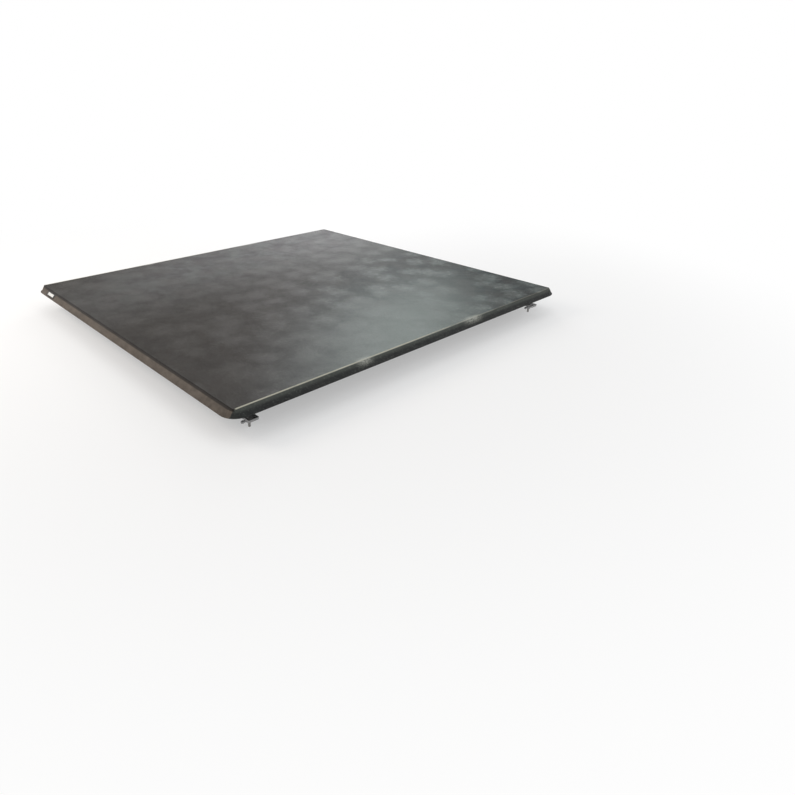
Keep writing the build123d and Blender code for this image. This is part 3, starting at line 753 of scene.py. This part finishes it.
def skin_piece(name, start_y, end_y):
    """The part of the skin between two values of y: face, lining and the cut edges."""
    chosen = quads[(face_y < start_y) & (face_y > end_y)]
    used = np.unique(chosen)
    at = {int(v): i for i, v in enumerate(used)}
    count = len(used)
    faces = [tuple(at[int(v)] for v in quad) for quad in chosen]
    edges = dict.fromkeys((face[i], face[(i + 1) % 4]) for face in faces for i in range(4))
    rim = [(a, b) for a, b in edges if (b, a) not in edges]
    under = [tuple(v + count for v in reversed(face)) for face in faces]
    rims = [(b, a, a + count, b + count) for a, b in rim]
    data = bpy.data.meshes.new(name)
    verts = np.concatenate([whole[used], lining[used]])
    data.from_pydata(verts.tolist(), [], faces + under + rims)
    data.materials.append(vinyl)
    data.materials.append(backing)
    kinds = [0] * len(faces) + [1] * len(under) + [1] * len(rims)
    data.polygons.foreach_set("material_index", kinds)
    data.polygons.foreach_set("use_smooth", [True] * (2 * len(faces)) + [False] * len(rims))
    kept = data.attributes.new("place", "FLOAT_VECTOR", "POINT")
    kept.data.foreach_set("vector", verts.astype(np.float32).ravel())
    return placed(name, data)


skins = [
    ("skin_front", 1.0, line_a + bend, "front_vinyl", "front_side_rails", ("front_panel",), None),
    ("skin_fold_a", line_a + bend, middle_ab, "front_fold_vinyl", "front_side_rails",
     ("front_panel", "front_fold"), line_a),
    ("skin_fold_b", middle_ab, line_b - bend, "front_fold_vinyl", "fold_spine",
     ("front_fold", "mid_panel"), line_b),
    ("skin_mid", line_b - bend, line_c + bend, "mid_vinyl", "mid_side_rails", ("mid_panel",), None),
    ("skin_fold_c", line_c + bend, middle_cd, "rear_fold_vinyl", "mid_side_rails",
     ("mid_panel", "rear_fold"), line_c),
    ("skin_fold_d", middle_cd, line_d - bend, "rear_fold_vinyl", "fold_link_bars",
     ("rear_fold", "rear_panel"), line_d),
    ("skin_rear", line_d - bend, -9.0, "rear_vinyl", "rear_side_rails", ("rear_panel",), None),
]
for name, start_y, end_y, stands_for, carrier, bodies, turn_line in skins:
    piece = skin_piece(name, start_y, end_y)
    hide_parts(stands_for)
    if turn_line:
        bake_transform(piece)
    else:
        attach(piece, bodies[0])


# ---- Blank tag ----
# A small woven label with nothing on it, white with a black border that is wider at its ends,
# stuck flat on the rear band beside the left corner.
tag_low, tag_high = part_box("blank_tag")
tag_cloth, tree, shader = new_material("tag_cloth", 0.75, Specular_IOR_Level=0.3, Sheen_Weight=0.15)
place = tree.nodes.new("ShaderNodeTexCoord").outputs["UV"]
split = add(tree, "ShaderNodeSeparateXYZ", {0: place})
weave = add(tree, "ShaderNodeGroup", {"Place": place, "Thread": 0.0006}, node_tree=weave_tree)
tag_long, tag_tall = tag_high[0] - tag_low[0], 0.021
end_border, side_border, soft_edge = 0.011, 0.0040, 0.0003
white_long, white_tall = tag_long / 2 - end_border, tag_tall / 2 - side_border
off_x = maths(tree, "ABSOLUTE", split.outputs["X"])
off_y = maths(tree, "ABSOLUTE", split.outputs["Y"])
border = maths(tree, "MAXIMUM",
               ramp(tree, off_x, white_long - soft_edge, white_long),
               ramp(tree, off_y, white_tall - soft_edge, white_tall))
cloth = blend_colour(tree, weave.outputs["Thread Tone"], (0.70, 0.70, 0.68, 1),
                     (0.84, 0.84, 0.82, 1))
cloth = lay_over(tree, cloth, weave.outputs["Gap"], 0.5, (0.42, 0.42, 0.41, 1))
cloth = blend_colour(tree, border, cloth, (0.015, 0.015, 0.016, 1))
normal = relief(tree, weave.outputs["Height"], 0.00012, 0.7)
wire(tree, shader, Base_Color=cloth, Normal=normal)


def keep_flat_places(piece, places):
    """Stores each point's place on the flat cloth, for the weave to follow."""
    uv = piece.data.uv_layers.new(name="UVMap")
    for corner in piece.data.loops:
        uv.data[corner.index].uv = places[corner.vertex_index]


tag_middle = (tag_low[0] + tag_high[0]) / 2
tag_columns, tag_rows = 57, 15
verts, faces, flat_places = [], [], []
tag_proud, glue_gap, pad_depth, wave_depth = 0.0006, 0.00005, 0.00025, 0.0001
corner_cut = 0.0012
slope_flat = band_length - 0.0049  # without the bead at its foot
for layer, lift in ((0, tag_proud), (1, glue_gap)):
    for i in range(tag_rows):
        for j in range(tag_columns):
            across_tag = (j / (tag_columns - 1) - 0.5) * tag_long
            up_tag = (0.5 - i / (tag_rows - 1)) * tag_tall
            share = 0.5 * band_length / slope_flat - up_tag / slope_flat
            height, belly = band_height(share)
            corner_in = corner_cut * (abs(across_tag) / (tag_long / 2)) ** 24 \
                * (abs(up_tag) / (tag_tall / 2)) ** 6
            pad = pad_depth * (1 - (abs(up_tag) / (tag_tall / 2)) ** 6) * (1 - layer)
            push = belly + lift + pad + wave_depth * math.sin(across_tag * 160)
            plan = edge_rear - (band_run - bead_start) * share - push * band_out[0]
            x = tag_middle + across_tag - math.copysign(corner_in, across_tag)
            verts.append((x, plan, height + push * band_out[1]))
            flat_places.append((across_tag, up_tag))
size = tag_rows * tag_columns
for i in range(tag_rows - 1):
    for j in range(tag_columns - 1):
        a = i * tag_columns + j
        faces.append((a, a + tag_columns, a + tag_columns + 1, a + 1))
        faces.append((size + a, size + a + 1, size + a + tag_columns + 1, size + a + tag_columns))
rim = list(range(tag_columns))
rim += [i * tag_columns + tag_columns - 1 for i in range(1, tag_rows)]
rim += [(tag_rows - 1) * tag_columns + j for j in range(tag_columns - 2, -1, -1)]
rim += [i * tag_columns for i in range(tag_rows - 2, 0, -1)]
for a, b in zip(rim, rim[1:] + rim[:1]):
    faces.append((a, b, b + size, a + size))
tag = mesh_object("tag_label", verts, faces, tag_cloth)
keep_flat_places(tag, flat_places)
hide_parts("blank_tag")
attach(tag, "rear_panel")


# ---- Stay straps ----
# Two polypropylene webbing straps that hold the folded stack. Each is woven flat, and lies
# folded in three behind its buckle against the front rail, with rounded turns.
webbing, tree, shader = new_material("webbing", 0.82, Specular_IOR_Level=0.25, Sheen_Weight=0.3)
place = tree.nodes.new("ShaderNodeTexCoord").outputs["UV"]
weave = add(tree, "ShaderNodeGroup", {"Place": place, "Thread": 0.0014}, node_tree=weave_tree)
split = add(tree, "ShaderNodeSeparateXYZ", {0: place})
rib = maths(tree, "SINE", times(tree, split.outputs["Y"], 2 * math.pi / 0.0021))
cloth = blend_colour(tree, weave.outputs["Thread Tone"], (0.016, 0.016, 0.017, 1),
                     (0.045, 0.045, 0.047, 1))
cloth = blend_colour(tree, weave.outputs["Gap"], cloth, (0.006, 0.006, 0.006, 1))
height = plus(tree, weave.outputs["Height"], times(tree, rib, 0.5))
normal = relief(tree, height, 0.0003, 0.9)
wire(tree, shader, Base_Color=cloth, Normal=normal)
strap_low, strap_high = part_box("stay_straps")
strap_length, strap_centre = 0.18, 0.30
strap_layers, straight_steps, turn_steps = 3, 24, 6
strap_pitch = (strap_high[1] - strap_low[1]) / strap_layers
strap_tall = strap_high[2] - strap_low[2]
cloth_thick = 0.0011
rows_up = 7
for side, label in ((-1, "left"), (1, "right")):
    line = []
    for layer in range(strap_layers):
        y = strap_high[1] - strap_pitch * (layer + 0.5)
        way = 1 if layer % 2 == 0 else -1
        straight = strap_length / 2 - strap_pitch / 2
        for i in range(straight_steps + 1):
            x = way * (-straight + 2 * straight * i / straight_steps)
            line.append((side * strap_centre + x, y + 0.00012 * math.sin(x * 90)))
        if layer < strap_layers - 1:
            for i in range(1, turn_steps):
                a = math.pi * i / turn_steps
                line.append((side * strap_centre + way * (straight + strap_pitch / 2 * math.sin(a)),
                             y - strap_pitch / 2 * (1 - math.cos(a))))
    verts, faces, flat_places = [], [], []
    run = 0.0
    for i, (x, y) in enumerate(line):
        back, ahead = line[max(i - 1, 0)], line[min(i + 1, len(line) - 1)]
        dx, dy = ahead[0] - back[0], ahead[1] - back[1]
        size = math.hypot(dx, dy)
        nx, ny = -dy / size, dx / size
        if i:
            run += math.hypot(x - line[i - 1][0], y - line[i - 1][1])
        for face_side in (1, -1):
            for k in range(rows_up):
                up = k / (rows_up - 1)
                edge_thin = 1 - 0.35 * abs(2 * up - 1) ** 6
                off = face_side * cloth_thick / 2 * edge_thin
                verts.append((x + nx * off, y + ny * off, strap_low[2] + strap_tall * up))
                flat_places.append((run, strap_tall * up))
    step = 2 * rows_up
    for i in range(len(line) - 1):
        for k in range(rows_up - 1):
            a = i * step + k
            faces.append((a, a + 1, a + step + 1, a + step))
            b = a + rows_up
            faces.append((b, b + step, b + step + 1, b + 1))
        for k in (0, rows_up - 1):
            a = i * step + k
            faces.append((a, a + step, a + step + rows_up, a + rows_up) if k == 0
                         else (a, a + rows_up, a + step + rows_up, a + step))
    for i in (0, len(line) - 1):
        for k in range(rows_up - 1):
            a = i * step + k
            faces.append((a, a + rows_up, a + rows_up + 1, a + 1) if i == 0
                         else (a, a + 1, a + rows_up + 1, a + rows_up))
    strap = mesh_object(f"folded_strap_{label}", verts, faces, webbing)
    keep_flat_places(strap, flat_places)
    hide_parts("stay_straps")
    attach(strap, "front_panel")


# ---- Strap buckles ----
# Side-release buckles, moulded in the same black nylon: a rounded body pinched at the waist,
# with a raised pad inside a groove on its face. Each hangs on its folded strap.
buckle_low, buckle_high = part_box("strap_buckles")
buckle_tall = buckle_high[2] - buckle_low[2]
buckle_deep = buckle_high[1] - buckle_low[1]
buckle_long, outline_points, squareness = 0.034, 64, 0.35
waist_share, waist_place, waist_spread = 0.12, 0.002, 0.005
for side, label in ((-1, "left"), (1, "right")):
    bm = bmesh.new()
    half_l, half_t = buckle_long / 2, buckle_tall / 2
    outline = []
    for i in range(outline_points):
        a = 2 * math.pi * i / outline_points
        x = half_l * math.copysign(abs(math.cos(a)) ** squareness, math.cos(a))
        z = half_t * math.copysign(abs(math.sin(a)) ** squareness, math.sin(a))
        z *= 1 - waist_share * math.exp(-((x - waist_place) / waist_spread) ** 2)
        outline.append((x, z))
    layers = [(0.0, 0.94), (0.0009, 0.99), (0.0022, 1.0), (buckle_deep - 0.0028, 1.0),
              (buckle_deep - 0.0010, 0.96), (buckle_deep, 0.86)]
    loops = []
    for depth, grow in layers:
        ring = [bm.verts.new((side * strap_centre + x * grow, buckle_high[1] - depth,
                              (buckle_low[2] + buckle_high[2]) / 2 + z * grow)) for x, z in outline]
        loops.append(ring)
    for first, second in zip(loops, loops[1:]):
        for i in range(outline_points):
            j = (i + 1) % outline_points
            bm.faces.new((first[i], first[j], second[j], second[i]))
    bm.faces.new(loops[0])
    front_face = bm.faces.new(list(reversed(loops[-1])))
    for width, depth in ((0.0022, 0.0), (0.0006, -0.0011), (0.0022, 0.0), (0.0005, 0.0012)):
        bmesh.ops.inset_region(bm, faces=[front_face], thickness=width, depth=depth)
    bmesh.ops.recalc_face_normals(bm, faces=bm.faces)
    data = bpy.data.meshes.new(f"buckle_{label}")
    bm.to_mesh(data)
    bm.free()
    data.materials.append(nylon)
    data.shade_smooth()
    data.set_sharp_from_angle(angle=math.radians(32))
    buckle = placed(f"buckle_{label}", data)
    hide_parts("strap_buckles")
    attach(buckle, "front_panel")


# ---- Floor, light and camera ----
# A pale studio floor under the clamps, four soft lamps and a white surround. None of them is
# part of the cover.


def seen_plainly(tree):
    """1 for a ray from the camera, or by way of a mirror or glass, and 0 for any other."""
    path = add(tree, "ShaderNodeLightPath")
    seen = plus(tree, path.outputs["Is Camera Ray"], path.outputs["Is Glossy Ray"], clamp=True)
    return plus(tree, seen, path.outputs["Is Transmission Ray"], clamp=True)


floor_level = cad_box[0][2]
bpy.ops.mesh.primitive_plane_add(size=60, location=(0, (front_edge + rear_edge) / 2, floor_level))
floor = bpy.context.object
floor.name = "floor"
floor_finish, tree, shader = new_material("floor_finish", 0.9, Specular_IOR_Level=0.1)
place = tree.nodes.new("ShaderNodeTexCoord").outputs["Object"]
distance = add(tree, "ShaderNodeVectorMath", {0: place}, operation="LENGTH").outputs["Value"]
far_off = ramp(tree, distance, 0.9, 2.6)
shader.inputs["Base Color"].default_value = (0.90, 0.90, 0.90, 1)
seen = seen_plainly(tree)
share = plus(tree, times(tree, far_off, 0.6), 0.4)
glow = add(tree, "ShaderNodeEmission", {"Color": (1, 1, 1, 1), "Strength": 1.0})
mixed = add(tree, "ShaderNodeMixShader", {0: times(tree, seen, share),
                                          1: shader.outputs[0], 2: glow.outputs[0]})
# from beneath the floor isn't seen, so that the underside of the cover can be
beneath = tree.nodes.new("ShaderNodeNewGeometry").outputs["Backfacing"]
clear = add(tree, "ShaderNodeBsdfTransparent", {"Color": (1, 1, 1, 1)})
mixed = add(tree, "ShaderNodeMixShader", {0: beneath, 1: mixed.outputs[0], 2: clear.outputs[0]})
tree.links.new(mixed.outputs[0], tree.nodes["Material Output"].inputs["Surface"])
floor.data.materials.append(floor_finish)

world = bpy.data.worlds.new("surround")
bpy.context.scene.world = world
world.use_nodes = True
tree = world.node_tree
seen = seen_plainly(tree)
strength = plus(tree, times(tree, seen, 0.45), 0.55)
tree.links.new(strength, tree.nodes["Background"].inputs["Strength"])
tree.nodes["Background"].inputs["Color"].default_value = (1, 1, 1, 1)

lamps = [("key", (-2.1, -3.4, 2.2), 1.6, 60.0, (1.0, 0.92, 0.84)),
         ("cab_side", (-2.3, 1.5, 1.3), 1.8, 36.0, (0.97, 0.98, 1.0)),
         ("fill", (2.8, -0.2, 2.6), 2.0, 13.0, (0.92, 0.97, 1.0)),
         ("top", (0.0, -0.85, 3.4), 2.6, 16.0, (1.0, 1.0, 1.0))]
aim = (0.0, (front_edge + rear_edge) / 2, 0.0)
for label, where, size, power, colour in lamps:
    data = bpy.data.lights.new(label, "AREA")
    data.shape = "SQUARE"
    data.size = size
    data.energy = power
    data.color = colour
    lamp = placed(label, data)
    lamp.visible_camera = False
    lamp.location = where
    away = [where[i] - aim[i] for i in range(3)]
    lamp.rotation_mode = "QUATERNION"
    lamp.rotation_quaternion = Vector(away).to_track_quat("Z", "Y")

camera_data = bpy.data.cameras.new("camera")
camera_data.sensor_width = 36.0
camera_data.lens = 27.63
camera_data.shift_x = 0.0613
camera = placed("camera", camera_data)
camera.location = (2.158, -2.484, 0.892)
azimuth, elevation = math.radians(47.73), math.radians(28.05)
camera.rotation_euler = (math.pi / 2 - elevation, 0.0, azimuth)
camera_data.clip_end = 200
bpy.context.scene.camera = camera
bpy.context.scene.view_settings.view_transform = "Standard"

bpy.context.view_layer.update()
